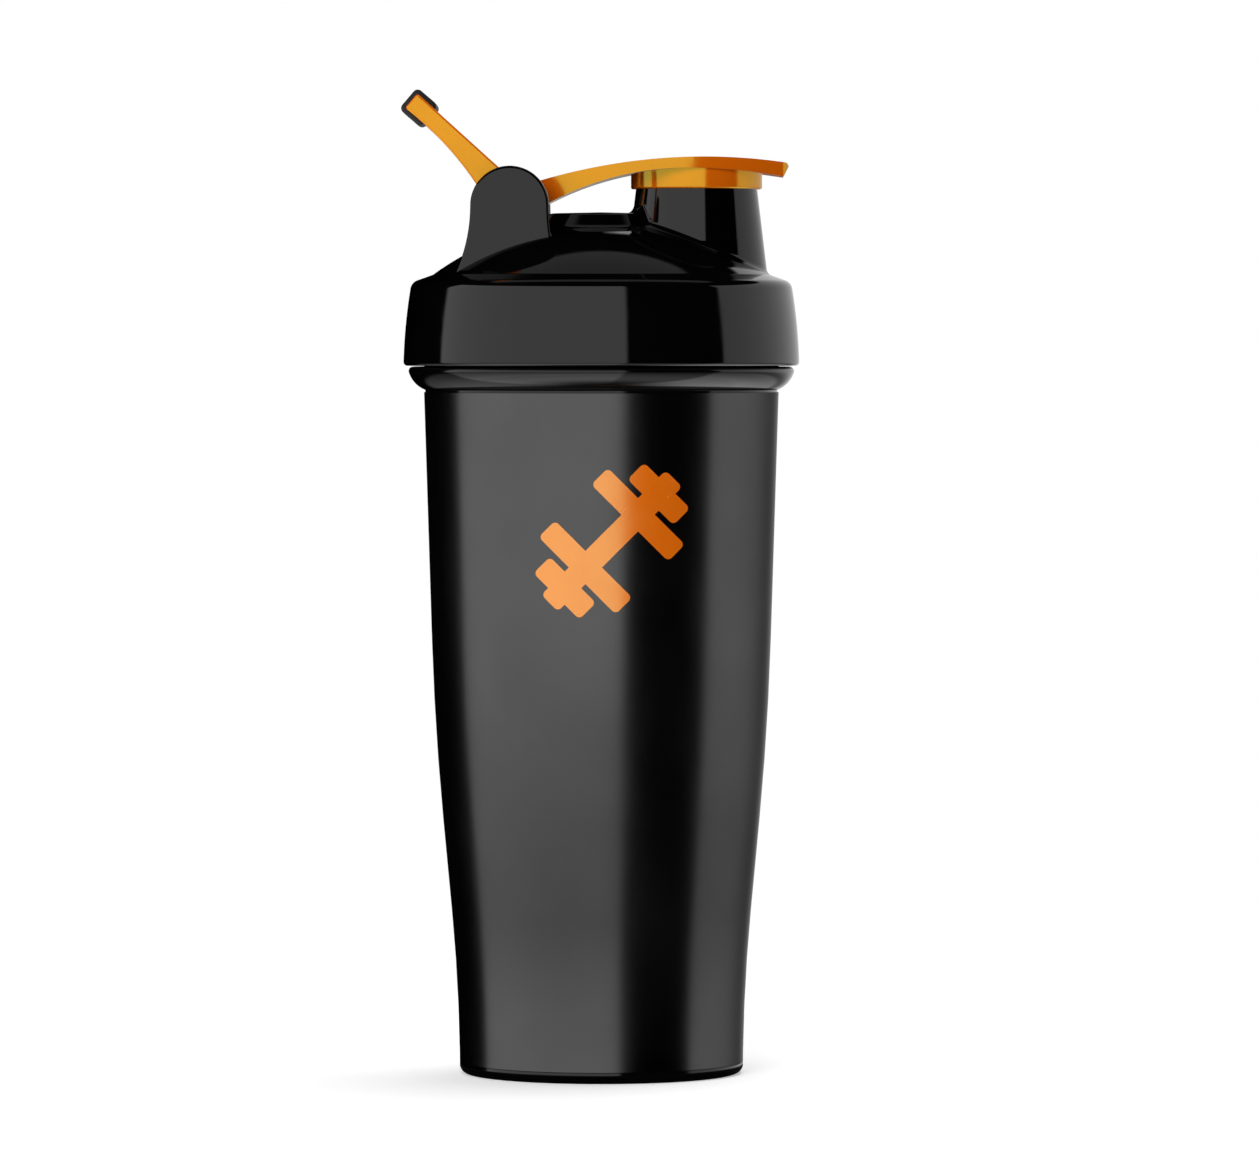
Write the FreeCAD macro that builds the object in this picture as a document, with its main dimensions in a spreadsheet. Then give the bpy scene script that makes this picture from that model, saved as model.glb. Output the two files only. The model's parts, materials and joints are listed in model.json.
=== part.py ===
# Protein shaker bottle: cup with a shrink sleeve, screw lid with spout and hinge ears, flip cap with a soft
# stopper, carry loop with a rubber grip, and a loose whisk ball of steel wire.
# Origin: centre of the base, on the surface the bottle stands on. +Z up, the spout towards +X, the front at -Y.
import FreeCAD, Part
import Sketcher
import math
import os
import re

Vector = FreeCAD.Vector

# Driving dimensions in millimetres and degrees. Heights named "...Height" are above the base.
SIZES = {
    # cup: the outer side runs foot, waist, hip, collar, with a long curve at the waist and at the hip
    "footRadius": 34.54, "footCorner": 2.2, "standRadius": 24.5, "standRecess": 1.2,
    "waistRadius": 34.84, "waistHeight": 22.6, "waistCurve": 430,
    "hipRadius": 40.59, "hipHeight": 83.9, "hipCurve": 700,
    "collarRadius": 43.15, "collarHeight": 166, "collarLand": 0.5,
    "cupWall": 1.8, "floorWall": 2, "floorCorner": 8,
    "beadOut": 3.75, "beadThick": 5.7, "beadFace": 1.3, "beadUnder": 6.8, "beadTop": 1.1,
    "neckStep": 0.15, "neckWall": 1.7, "neckLength": 16.9, "rimRound": 0.5,
    # shrink sleeve and the mark printed on it
    "sleeveWall": 0.3, "sleeveBottom": 2.8, "markWall": 0.25, "markCentreX": 2.6, "markDrop": 35.3,
    "markTilt": 45, "markBarLong": 42, "markBarWide": 5.6, "plateThick": 5.6, "innerPlateLong": 26,
    "innerPlateAt": 8.9, "outerPlateLong": 15.5, "plateGap": 1.4, "markRound": 1.2,
    # screw thread
    "threadPitch": 6, "threadTurns": 1.25, "lidThreadTurns": 1, "threadDepth": 1.2, "threadRoot": 2.2,
    "threadCrest": 1.2, "threadStart": 6.9, "threadPlay": 2.3, "threadRadialGap": 0.5, "threadSink": 0.3,
    # lid: skirt, shoulder, dome and the low plateau on it, and the hollow below
    "lidGap": 0.2, "skirtWall": 3.47, "skirtLean": 1.97, "skirtBow": 133, "skirtEdge": 0.9,
    "shoulderRound": 2.6, "shoulderOut": 0.35, "shoulderDrop": 1.8, "shoulderIn": 1.4, "shoulderLift": 0.6,
    "bandStep": 5.2, "bandRise": 2.2, "domeCurve": 65, "domeTopRadius": 15.8, "domeRise": 11.3,
    "plateauRadius": 12.5, "plateauRise": 3.6, "plateauCrown": 0.3, "plateauRound": 1.2, "plateauFoot": 5.76,
    "plateauOut": 0.5, "plateauDrop": 1.1, "plateauIn": 0.6,
    "lidWall": 2, "roofThick": 2, "mouthWall": 1.9, "leadIn": 3.2, "hollowTopIn": 0.5, "hollowCrownIn": 1.6,
    "hollowFoot": 1.4, "sealThick": 1.2, "sealGap": 0.3, "sealNotch": 0.4, "lipGap": 0.7, "lipWall": 1.2,
    "lipDepth": 3.4,
    # spout
    "spoutLift": 8, "spoutRimRadius": 14.5, "spoutWall": 1.5, "spoutTaper": 0.12, "spoutShy": 0.59,
    "spoutRound": 0.5, "spoutFoot": 1.6,
    # hinge, ears and pin
    "pivotX": -22.05, "pivotLift": 1.8, "earRadius": 9.5, "earThick": 3.5, "earGap": 0.3, "earLeftFlare": 4.4,
    "earRightFlare": 2.2, "earLeftFoot": 1.5, "earRightFoot": 2, "earRoot": 6, "earEdge": 0.8,
    "earInnerEdge": 0.4, "pinRadius": 2, "pinSocket": 2, "pinGap": 0.06, "pinEdge": 0.25,
    # flip cap
    "barrelRadius": 5.2, "barrelHalf": 13.3, "capPeakPast": 2.35, "capPeakLift": 5.54, "capEndBack": 1,
    "capEndRise": 3.4, "underPeakShort": 2.06, "underPeakLift": 2.85, "capRootOut": 4.9, "capRootDrop": 1.98,
    "capHeelDrop": 3, "capTipReach": 22.25, "capTipLean": 1.2, "capTipDrop": 2, "capTipCurve": 134,
    "capTipRound": 1.1, "capTipHalf": 7.9, "capTipCorner": 4, "capTipMargin": 0.2, "capArmShy": 3.3,
    "capArmBack": 10, "capArmOut": 4, "capWidestShort": 1.35, "capBrim": 4.35, "capSideCurve": 45,
    "ringGap": 0.6, "ringWall": 0.85, "ringDrop": 2.1, "ringBite": 0.8, "ringEdge": 0.4,
    "flangeGap": 0.2, "flangeThick": 1, "plugDepth": 3.8, "plugGap": 0.3, "plugTaper": 0.7,
    # carry loop and grip
    "eyeRadius": 5, "armGap": 0.5, "loopArm": 2.9, "loopCurve": 78, "loopReach": 22.05, "loopRise": 23.7,
    "tipBrim": 0.2, "loopTipAngle": 139.5, "gripCore": 4.2, "gripWall": 1.3, "gripRound": 1.3,
    "gripPlay": 0.15,
    # whisk ball
    "ballRadius": 24, "wireRadius": 1.15, "ballTurns": 7, "poleRadius": 5.4, "ballGap": 0.05,
    # how far a cut runs past what it cuts, and the square it cuts from
    "cutPast": 5, "trimReach": 300,
}

doc = FreeCAD.newDocument("ShakerBottle")
sheet = doc.addObject("Spreadsheet::Sheet", "Sizes")
for row, (word, number) in enumerate(SIZES.items(), start=1):
    sheet.set("A%d" % row, word)
    sheet.set("B%d" % row, str(number))
    sheet.setAlias("B%d" % row, word)
doc.recompute()

# Derived sizes and places, written once and used by every piece that meets there.
DERIVED = {
    "beadRadius": "collarRadius + beadOut",
    "neckRadius": "collarRadius - neckStep",
    "beadBottom": "collarHeight + collarLand",
    "beadTopHeight": "beadBottom + beadThick",
    "rimHeight": "beadTopHeight + neckLength",
    "floorHeight": "standRecess + floorWall",
    "boreRadius": "neckRadius - neckWall",
    "markCentreHeight": "collarHeight - markDrop",
    "outerPlateAt": "innerPlateAt + plateThick + plateGap",
    "threadWall": "neckRadius + threadDepth + threadRadialGap",
    "skirtBottom": "beadTopHeight + lidGap",
    "skirtRadius": "threadWall + skirtWall",
    "skirtTopRadius": "skirtRadius - skirtLean",
    "sealTop": "rimHeight + sealThick",
    "shoulderHeight": "sealTop + roofThick",
    "bandHeight": "shoulderHeight + bandRise",
    "bandRadius": "skirtTopRadius - bandStep",
    "domeTopHeight": "bandHeight + domeRise",
    "plateauHeight": "domeTopHeight + plateauRise",
    "lipOuter": "boreRadius - lipGap",
    "spoutRimHeight": "plateauHeight + spoutLift",
    "spoutHeight": "spoutRimHeight - bandHeight",
    "spoutX": "bandRadius - spoutRimRadius - spoutTaper * spoutHeight - spoutShy",
    "spoutBore": "spoutRimRadius - spoutWall",
    "pivotHeight": "plateauHeight + pivotLift",
    "loopInner": "barrelHalf + armGap",
    "earInner": "loopInner + loopArm + earGap",
    "earOuter": "earInner + earThick",
    "earLeftX": "pivotX - earRadius - earLeftFlare",
    "earRightX": "pivotX + earRadius + earRightFlare",
    "leftDrop": "pivotHeight - bandHeight + earLeftFoot",
    "rightDrop": "pivotHeight - bandHeight - earRightFoot",
    "earLeftBend": "(leftDrop ^ 2 + earLeftFlare ^ 2) / (2 * earLeftFlare)",
    "earRightBend": "(rightDrop ^ 2 + earRightFlare ^ 2) / (2 * earRightFlare)",
    "wellRadius": "spoutRimRadius + ringGap",
    "ringRadius": "wellRadius + ringWall",
    "ringBottom": "spoutRimHeight - ringDrop",
    "ringCeiling": "spoutRimHeight + flangeGap + flangeThick",
    "capPeakX": "spoutX + capPeakPast",
    "capPeakHeight": "spoutRimHeight + capPeakLift",
    "capEndX": "pivotX - capEndBack",
    "capTopSag": "capPeakHeight - pivotHeight - capEndRise",
    "capTopCurve": "((capPeakX - capEndX) ^ 2 + capTopSag ^ 2) / (2 * capTopSag)",
    "underPeakX": "spoutX - underPeakShort",
    "underPeakHeight": "spoutRimHeight + underPeakLift",
    "capRootX": "pivotX + capRootOut",
    "capUnderSag": "underPeakHeight - pivotHeight + capRootDrop",
    "capUnderCurve": "((underPeakX - capRootX) ^ 2 + capUnderSag ^ 2) / (2 * capUnderSag)",
    "capTipX": "spoutX + capTipReach",
    "capRimX": "capTipX - capTipRound",
    "capRimHeight": "capPeakHeight - capTopCurve + sqrt(capTopCurve ^ 2 - (capRimX - capPeakX) ^ 2)",
    "capWidestX": "spoutX - capWidestShort",
    "capWidestHalf": "ringRadius + capBrim",
    "capArmHalf": "barrelHalf - capArmShy",
    "loopTipX": "pivotX - loopReach",
    "loopTipHeight": "pivotHeight + loopRise",
    "loopTipWide": "gripCore + tipBrim * 2",
    "gripSide": "gripCore + gripWall * 2",
}


# ---------------------------------------------------------------- expressions
def full(text):
    # "cupWall * 2" becomes "Sizes.cupWall * 2"; derived words are replaced by their own formula first
    text = str(text)
    while any(re.search(r"\b%s\b" % word, text) for word in DERIVED):
        for word, formula in DERIVED.items():
            text = re.sub(r"\b%s\b" % word, "(%s)" % formula, text)
    return re.sub(r"\b(%s)\b" % "|".join(SIZES), r"Sizes.\1", text)


def value(text):
    result = sheet.evalExpression(full(text))
    return float(getattr(result, "Value", result))


def bind(item, **properties):
    for name, text in properties.items():
        item.setExpression(name, full(text))


# ---------------------------------------------------------------- sketches
def sketch_on(body, name, role, offset=None):
    # a sketch on one of the body's own origin planes, offset along the plane's normal
    sketch = body.newObject("Sketcher::SketchObject", name)
    plane = [feature for feature in body.Origin.OriginFeatures if feature.Role == role][0]
    sketch.AttachmentSupport = [(plane, "")]
    sketch.MapMode = "FlatFace"
    if offset is not None:
        bind(sketch, **{"AttachmentOffset.Base.z": offset})
    return sketch


def measured(sketch, kind, first, *rest):
    # a driving constraint whose last entry is an expression on the sheet
    text = rest[-1]
    sketch.addConstraint(Sketcher.Constraint(kind, first, *rest[:-1], value(text)))
    sketch.setExpression("Constraints[%d]" % (sketch.ConstraintCount - 1), full(text))


def arc_between(start, end, radius, left):
    # centre and end angles of the shorter arc from start to end, turning left or right
    chord = end - start
    half = chord.Length / 2
    side = Vector(-chord.y, chord.x, 0).normalize() * math.sqrt(radius * radius - half * half)
    centre = (start + end) / 2 + (side if left else -side)
    angles = [math.atan2(p.y - centre.y, p.x - centre.x) for p in (start, end)]
    if not left:
        angles.reverse()
    return Part.ArcOfCircle(Part.Circle(centre, Vector(0, 0, 1), radius), *angles)


def outline(sketch, corners):
    # A closed outline. Each corner is (x, y), with "round" to round it and "bow" to bend the run that leaves
    # it: a bow is (radius, "left" or "right"). Every place and radius is bound to the sheet.
    spots = [Vector(value(corner[0]), value(corner[1]), 0) for corner in corners]
    extras = [corner[2] if len(corner) > 2 else {} for corner in corners]
    count = len(corners)
    enter, leave, arcs = {}, {}, {}
    for i, spot in enumerate(spots):
        enter[i] = leave[i] = spot
        if "round" in extras[i]:
            back = (spots[i - 1] - spot).normalize()
            ahead = (spots[(i + 1) % count] - spot).normalize()
            opening = back.getAngle(ahead)
            radius = value(extras[i]["round"])
            reach = radius / math.tan(opening / 2)
            enter[i], leave[i] = spot + back * reach, spot + ahead * reach
            arcs[i] = arc_between(enter[i], leave[i], radius, back.cross(ahead).z < 0)
    chain = []
    for i in range(count):
        if i in arcs:
            left = (leave[i] - spots[i]).cross(enter[i] - spots[i]).z > 0
            chain.append((sketch.addGeometry(arcs[i]), (1, 2) if left else (2, 1), True, i))
        start, end = leave[i], enter[(i + 1) % count]
        if "bow" in extras[i]:
            radius, side = extras[i]["bow"]
            left = side == "left"
            run = sketch.addGeometry(arc_between(start, end, value(radius), left))
            chain.append((run, (1, 2) if left else (2, 1), False, i))
            measured(sketch, "Radius", run, radius)
        else:
            chain.append((sketch.addGeometry(Part.LineSegment(start, end)), (1, 2), False, i))
    for (one, ends, rounded, _), (other, others, rounded_next, _) in zip(chain, chain[1:] + chain[:1]):
        joint = "Tangent" if rounded or rounded_next else "Coincident"
        sketch.addConstraint(Sketcher.Constraint(joint, one, ends[1], other, others[0]))
    for place, (piece, ends, rounded, i) in enumerate(chain):
        x, y = corners[i][:2]
        if rounded:
            measured(sketch, "Radius", piece, extras[i]["round"])
            mark = sketch.addGeometry(Part.Point(spots[i]), True)
            for line in (chain[place - 1][0], chain[(place + 1) % len(chain)][0]):
                sketch.addConstraint(Sketcher.Constraint("PointOnObject", mark, 1, line))
            measured(sketch, "DistanceX", -1, 1, mark, 1, x)
            measured(sketch, "DistanceY", -1, 1, mark, 1, y)
        elif i not in arcs:
            measured(sketch, "DistanceX", -1, 1, piece, ends[0], x)
            measured(sketch, "DistanceY", -1, 1, piece, ends[0], y)
    return sketch


def half_round(radius):
    # the bow of a half circle, a hair over half its chord so that its centre is always found
    return {"bow": (radius + " * 1.0001", "left")}


def circle(sketch, x, y, radius):
    ring = sketch.addGeometry(Part.Circle(Vector(value(x), value(y), 0), Vector(0, 0, 1), value(radius)))
    measured(sketch, "Radius", ring, radius)
    measured(sketch, "DistanceX", -1, 1, ring, 3, x)
    measured(sketch, "DistanceY", -1, 1, ring, 3, y)
    return sketch


# ---------------------------------------------------------------- features
def new_body(label):
    body = doc.addObject("PartDesign::Body", "Body_" + label)
    body.Label = label
    body.AllowCompound = True
    return body


def turned(body, kind, name, sketch):
    # a full turn of the sketch about its own upright axis
    feature = body.newObject("PartDesign::" + kind, name)
    feature.Profile = sketch
    feature.ReferenceAxis = (sketch, ["V_Axis"])
    feature.Angle = 360
    return feature


def padded(body, name, sketch, length, midplane=False, reverse=False):
    pad = body.newObject("PartDesign::Pad", name)
    pad.Profile = sketch
    pad.SideType = "Symmetric" if midplane else "One side"
    pad.Reversed = reverse
    bind(pad, Length=length)
    return pad


def pocketed(body, name, sketch, length, midplane=False, reverse=False):
    pocket = body.newObject("PartDesign::Pocket", name)
    pocket.Profile = sketch
    pocket.SideType = "Symmetric" if midplane else "One side"
    pocket.Reversed = reverse
    bind(pocket, Length=length)
    return pocket


def ridged(body, name, sketch, turns):
    # a right-hand helical ridge that climbs +Z
    helix = body.newObject("PartDesign::AdditiveHelix", name)
    helix.Profile = sketch
    helix.ReferenceAxis = (sketch, ["V_Axis"])
    helix.Mode = "pitch-turns-angle"
    bind(helix, Pitch="threadPitch", Turns=turns)
    return helix


def rounded(body, name, base, radius, wanted):
    # a fillet on each edge of the base feature that the test picks
    doc.recompute()
    picked = ["Edge%d" % (i + 1) for i, edge in enumerate(base.Shape.Edges) if wanted(edge)]
    if not picked:
        raise RuntimeError(name + ": no edge to round")
    fillet = body.newObject("PartDesign::Fillet", name)
    fillet.Base = (base, picked)
    bind(fillet, Radius=radius)
    return fillet


def near(number, text, slack=0.02):
    return abs(number - value(text)) < slack


def hoop(edge, radius):
    # a full or part circle of this radius
    return isinstance(edge.Curve, Part.Circle) and near(edge.Curve.Radius, radius)


# ---------------------------------------------------------------- cup and what is on it
def side_run(inset):
    # the cup's outer side from the foot up to the collar, moved in by inset
    return [
        ("footRadius - " + inset, "sleeveBottom"),
        ("waistRadius - " + inset, "waistHeight", {"round": "waistCurve"}),
        ("hipRadius - " + inset, "hipHeight", {"round": "hipCurve"}),
        ("collarRadius - " + inset, "collarHeight"),
    ]


def thread_profile(sketch, root, crest, centre):
    half_root, half_crest = " - threadRoot / 2", " - threadCrest / 2"
    outline(sketch, [
        (root, centre + half_root),
        (crest, centre + half_crest),
        (crest, centre + half_crest.replace("-", "+")),
        (root, centre + half_root.replace("-", "+")),
    ])
    return sketch


def make_cup():
    body = new_body("cup")
    corners = [
        ("0", "standRecess"),
        ("standRadius - standRecess", "standRecess"),
        ("standRadius", "0"),
        ("footRadius", "0", {"round": "footCorner"}),
        ("footRadius", "sleeveBottom"),
    ]
    corners += side_run("sleeveWall")
    corners += [
        ("collarRadius - sleeveWall", "beadBottom", {"bow": ("beadUnder", "left")}),
        ("beadRadius", "beadTopHeight - beadFace"),
        ("beadRadius", "beadTopHeight", {"round": "beadTop"}),
        ("neckRadius", "beadTopHeight"),
        ("neckRadius", "rimHeight", {"round": "rimRound"}),
        ("boreRadius", "rimHeight", {"round": "rimRound"}),
        ("hipRadius - sleeveWall - cupWall", "hipHeight", {"round": "hipCurve"}),
        ("waistRadius - sleeveWall - cupWall", "waistHeight", {"round": "waistCurve"}),
        ("footRadius - sleeveWall - cupWall", "floorHeight", {"round": "floorCorner"}),
        ("0", "floorHeight"),
    ]
    turned(body, "Revolution", "cup_wall", outline(sketch_on(body, "cup_section", "XZ_Plane"), corners))
    ridge = sketch_on(body, "neck_thread_section", "XZ_Plane")
    thread_profile(ridge, "neckRadius - threadSink", "neckRadius + threadDepth",
                   "beadTopHeight + threadStart")
    body.Tip = ridged(body, "neck_thread", ridge, "threadTurns")
    return body


def make_cup_sleeve():
    body = new_body("cup_sleeve")
    section = sketch_on(body, "sleeve_section", "XZ_Plane")
    outline(section, side_run("0") + side_run("sleeveWall")[::-1])
    body.Tip = turned(body, "Revolution", "sleeve_wall", section)
    return body


def make_front_mark():
    # a dumbbell pictogram: bars and plates cut from a thin shell that lies on the sleeve
    def box(name, long, wide, at):
        bar = doc.addObject("Part::Box", name)
        bind(bar, Length=wide, Width="collarRadius + cutPast", Height=long)
        bind(bar, **{"Placement.Base.x": at + " - (" + wide + ") / 2",
                     "Placement.Base.y": "-collarRadius - cutPast",
                     "Placement.Base.z": "-(" + long + ") / 2"})
        doc.recompute()
        soft = doc.addObject("Part::Fillet", name + "_soft")
        soft.Base = bar
        corner = value("markRound")
        soft.Edges = [(i + 1, corner, corner) for i, edge in enumerate(bar.Shape.Edges)
                      if abs(edge.Vertexes[0].Point.y - edge.Vertexes[-1].Point.y) > 1]
        return soft

    pieces = [box("mark_bar", "markBarWide", "markBarLong", "0")]
    for side in ("-", ""):
        pieces.append(box("inner_plate" + ("_low" if side else "_high"), "innerPlateLong", "plateThick",
                          side + "innerPlateAt"))
        pieces.append(box("outer_plate" + ("_low" if side else "_high"), "outerPlateLong", "plateThick",
                          side + "outerPlateAt"))
    stamp = doc.addObject("Part::MultiFuse", "mark_stamp")
    stamp.Shapes = pieces
    stamp.Placement.Rotation = FreeCAD.Rotation(Vector(0, 1, 0), -value("markTilt"))
    bind(stamp, **{"Placement.Base.x": "markCentreX", "Placement.Base.z": "markCentreHeight"})
    cones = []
    for name, lift in (("mark_outer", "markWall"), ("mark_inner", "0")):
        cone = doc.addObject("Part::Cone", name)
        bind(cone, Radius1="hipRadius + " + lift, Radius2="collarRadius + " + lift,
             Height="collarHeight - hipHeight", **{"Placement.Base.z": "hipHeight"})
        cones.append(cone)
    shell = doc.addObject("Part::Cut", "mark_shell")
    shell.Base, shell.Tool = cones
    mark = doc.addObject("Part::Common", "front_mark")
    mark.Base, mark.Tool = shell, stamp
    mark.Label = "front_mark"
    return mark


# ---------------------------------------------------------------- lid, seal and pin
def make_lid():
    body = new_body("lid")
    for side, plane in ((1, "earOuter"), (-1, "-earInner")):
        name = "ear_front" if side > 0 else "ear_back"
        ear = outline(sketch_on(body, name + "_outline", "XZ_Plane", offset=plane), [
            ("earRightX", "bandHeight + earRightFoot", {"bow": ("earRightBend", "right")}),
            ("pivotX + earRadius", "pivotHeight", half_round("earRadius")),
            ("pivotX - earRadius", "pivotHeight", {"bow": ("earLeftBend", "right")}),
            ("earLeftX", "bandHeight - earLeftFoot"),
            ("earLeftX", "bandHeight - earRoot"),
            ("earRightX", "bandHeight - earRoot"),
        ])
        last = padded(body, name, ear, "earThick", reverse=True)

    def on_face(edge, face):
        box = edge.BoundBox
        high = box.ZMax > value("pivotHeight - earRadius / 2")
        return high and box.YLength < 0.01 and near(abs(box.YMin), face)

    def outer_face(edge):
        return on_face(edge, "earOuter")

    def inner_face(edge):
        return on_face(edge, "earInner")

    last = rounded(body, "ear_outer_rounds", last, "earEdge", outer_face)
    last = rounded(body, "ear_inner_rounds", last, "earInnerEdge", inner_face)
    turned(body, "Revolution", "lid_block", outline(sketch_on(body, "lid_section", "XZ_Plane"), [
        ("0", "skirtBottom"),
        ("skirtRadius - skirtEdge", "skirtBottom", {"bow": ("skirtEdge", "left")}),
        ("skirtRadius", "skirtBottom + skirtEdge", {"bow": ("skirtBow", "left")}),
        ("skirtTopRadius + shoulderOut", "shoulderHeight - shoulderDrop", {"bow": ("shoulderRound", "left")}),
        ("skirtTopRadius - shoulderIn", "shoulderHeight + shoulderLift"),
        ("bandRadius", "bandHeight", {"bow": ("domeCurve", "left")}),
        ("domeTopRadius", "domeTopHeight", {"bow": ("plateauFoot", "right")}),
        ("plateauRadius + plateauOut", "plateauHeight - plateauDrop", {"bow": ("plateauRound", "left")}),
        ("plateauRadius - plateauIn", "plateauHeight"),
        ("0", "plateauHeight + plateauCrown"),
    ]))
    spout = sketch_on(body, "spout_section", "XY_Plane", offset="spoutRimHeight")
    circle(spout, "spoutX", "0", "spoutRimRadius")
    pad = padded(body, "spout", spout, "spoutHeight", reverse=True)
    bind(pad, TaperAngle="atan(spoutTaper)")
    turned(body, "Groove", "lid_hollow", outline(sketch_on(body, "hollow_section", "XZ_Plane"), [
        ("0", "skirtBottom - cutPast"),
        ("skirtRadius - mouthWall", "skirtBottom - cutPast"),
        ("skirtRadius - mouthWall", "skirtBottom"),
        ("threadWall", "skirtBottom + leadIn"),
        ("threadWall", "sealTop - sealNotch"),
        ("neckRadius + sealGap", "sealTop - sealNotch"),
        ("neckRadius + sealGap", "sealTop"),
        ("lipOuter", "sealTop"),
        ("lipOuter", "rimHeight - lipDepth"),
        ("lipOuter - lipWall", "rimHeight - lipDepth"),
        ("lipOuter - lipWall", "bandHeight - hollowFoot", {"bow": ("domeCurve - lidWall", "left")}),
        ("domeTopRadius - hollowTopIn", "domeTopHeight - lidWall"),
        ("plateauRadius - hollowCrownIn", "plateauHeight - lidWall"),
        ("0", "plateauHeight - lidWall"),
    ]))
    bore = sketch_on(body, "bore_section", "XY_Plane", offset="spoutRimHeight")
    circle(bore, "spoutX", "0", "spoutBore")
    pocketed(body, "spout_bore", bore, "spoutRimHeight - sealTop")
    sockets = circle(sketch_on(body, "socket_section", "XZ_Plane"), "pivotX", "pivotHeight", "pinRadius")
    pocketed(body, "pin_sockets", sockets, "(earInner + pinSocket) * 2", midplane=True)
    ridge = sketch_on(body, "lid_thread_section", "XZ_Plane")
    thread_profile(ridge, "threadWall + threadSink", "threadWall - threadDepth",
                   "beadTopHeight + threadStart - threadPlay")
    last = ridged(body, "lid_thread", ridge, "lidThreadTurns")

    def spout_rim(edge):
        at_rim = near(edge.BoundBox.ZMax, "spoutRimHeight")
        return at_rim and (hoop(edge, "spoutRimRadius") or hoop(edge, "spoutBore"))

    def spout_foot(edge):
        # where the spout meets the dome: a closed curve, not flat, that keeps the spout's own distance
        box, start = edge.BoundBox, edge.Vertexes[0].Point
        reach = math.hypot(start.x - value("spoutX"), start.y)
        widest = value("spoutRimRadius + spoutTaper * spoutHeight + spoutShy")
        outside = value("spoutRimRadius") < reach < widest
        return outside and box.ZLength > 1 and box.ZMax < value("spoutRimHeight - 1") and box.XLength > 2

    last = rounded(body, "spout_rim_round", last, "spoutRound", spout_rim)
    last = rounded(body, "spout_foot_round", last, "spoutFoot", spout_foot)
    body.Tip = last
    return body


def make_lid_seal():
    body = new_body("lid_seal")
    section = outline(sketch_on(body, "seal_section", "XZ_Plane"), [
        ("boreRadius - sealGap", "rimHeight"),
        ("neckRadius + sealGap", "rimHeight"),
        ("neckRadius + sealGap", "sealTop"),
        ("boreRadius - sealGap", "sealTop"),
    ])
    body.Tip = turned(body, "Revolution", "seal_ring", section)
    return body


def make_hinge_pin():
    body = new_body("hinge_pin")
    section = circle(sketch_on(body, "pin_section", "XZ_Plane"), "pivotX", "pivotHeight", "pinRadius")
    pin = padded(body, "pin", section, "(earInner + pinSocket) * 2", midplane=True)
    body.Tip = rounded(body, "pin_ends", pin, "pinEdge", lambda edge: hoop(edge, "pinRadius"))
    return body


# ---------------------------------------------------------------- flip cap and stopper
def make_flip_cap():
    body = new_body("flip_cap")
    side = outline(sketch_on(body, "cap_side", "XZ_Plane"), [
        ("pivotX", "pivotHeight - capHeelDrop"),
        ("capRootX", "pivotHeight - capRootDrop", {"bow": ("capUnderCurve", "right")}),
        ("underPeakX", "underPeakHeight", {"bow": ("capTipCurve", "right")}),
        ("capTipX - capTipLean", "underPeakHeight - capTipDrop"),
        ("capTipX", "capRimHeight - capTipRound", {"bow": ("capTipRound", "left")}),
        ("capRimX", "capRimHeight", {"bow": ("capTopCurve", "left")}),
        ("capEndX", "pivotHeight + capEndRise"),
    ])
    padded(body, "cap_plate", side, "capWidestHalf * 2", midplane=True)
    half = [
        ("pivotX - capArmBack", "-capArmHalf"),
        ("pivotX + capArmOut", "-capArmHalf"),
        ("capWidestX", "-capWidestHalf", {"round": "capSideCurve"}),
        ("capTipX + capTipMargin", "-capTipHalf", {"round": "capTipCorner"}),
    ]
    plan = sketch_on(body, "cap_plan", "XY_Plane")
    outline(plan, half + [(x, y[1:], *more) for x, y, *more in half[::-1]])
    outline(plan, [("-trimReach", "-trimReach"), ("trimReach", "-trimReach"), ("trimReach", "trimReach"),
                   ("-trimReach", "trimReach")])
    pocketed(body, "cap_trim", plan, "trimReach * 2", midplane=True)
    barrel = circle(sketch_on(body, "barrel_section", "XZ_Plane"), "pivotX", "pivotHeight", "barrelRadius")
    padded(body, "cap_barrel", barrel, "barrelHalf * 2", midplane=True)
    disc = sketch_on(body, "ring_section", "XY_Plane", offset="ringBottom")
    circle(disc, "spoutX", "0", "ringRadius")
    padded(body, "cap_ring", disc, "underPeakHeight - ringBottom + ringBite")
    well = sketch_on(body, "well_section", "XY_Plane", offset="ringBottom")
    circle(well, "spoutX", "0", "wellRadius")
    last = pocketed(body, "cap_well", well, "ringCeiling - ringBottom", reverse=True)

    def ring_foot(edge):
        return hoop(edge, "ringRadius") and near(edge.BoundBox.ZMin, "ringBottom")

    last = rounded(body, "ring_foot", last, "ringEdge", ring_foot)
    bore = circle(sketch_on(body, "barrel_bore", "XZ_Plane"), "pivotX", "pivotHeight", "pinRadius + pinGap")
    body.Tip = pocketed(body, "cap_bore", bore, "barrelHalf * 4", midplane=True)
    return body


def make_spout_stopper():
    body = new_body("spout_stopper")
    flange = sketch_on(body, "flange_section", "XY_Plane", offset="spoutRimHeight + flangeGap")
    circle(flange, "spoutX", "0", "wellRadius")
    padded(body, "flange", flange, "flangeThick")
    plug = sketch_on(body, "plug_section", "XY_Plane", offset="spoutRimHeight + flangeGap")
    circle(plug, "spoutX", "0", "spoutBore - plugGap")
    pad = padded(body, "plug", plug, "plugDepth", reverse=True)
    bind(pad, TaperAngle="-atan(plugTaper / plugDepth)")
    body.Tip = pad
    return body


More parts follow.
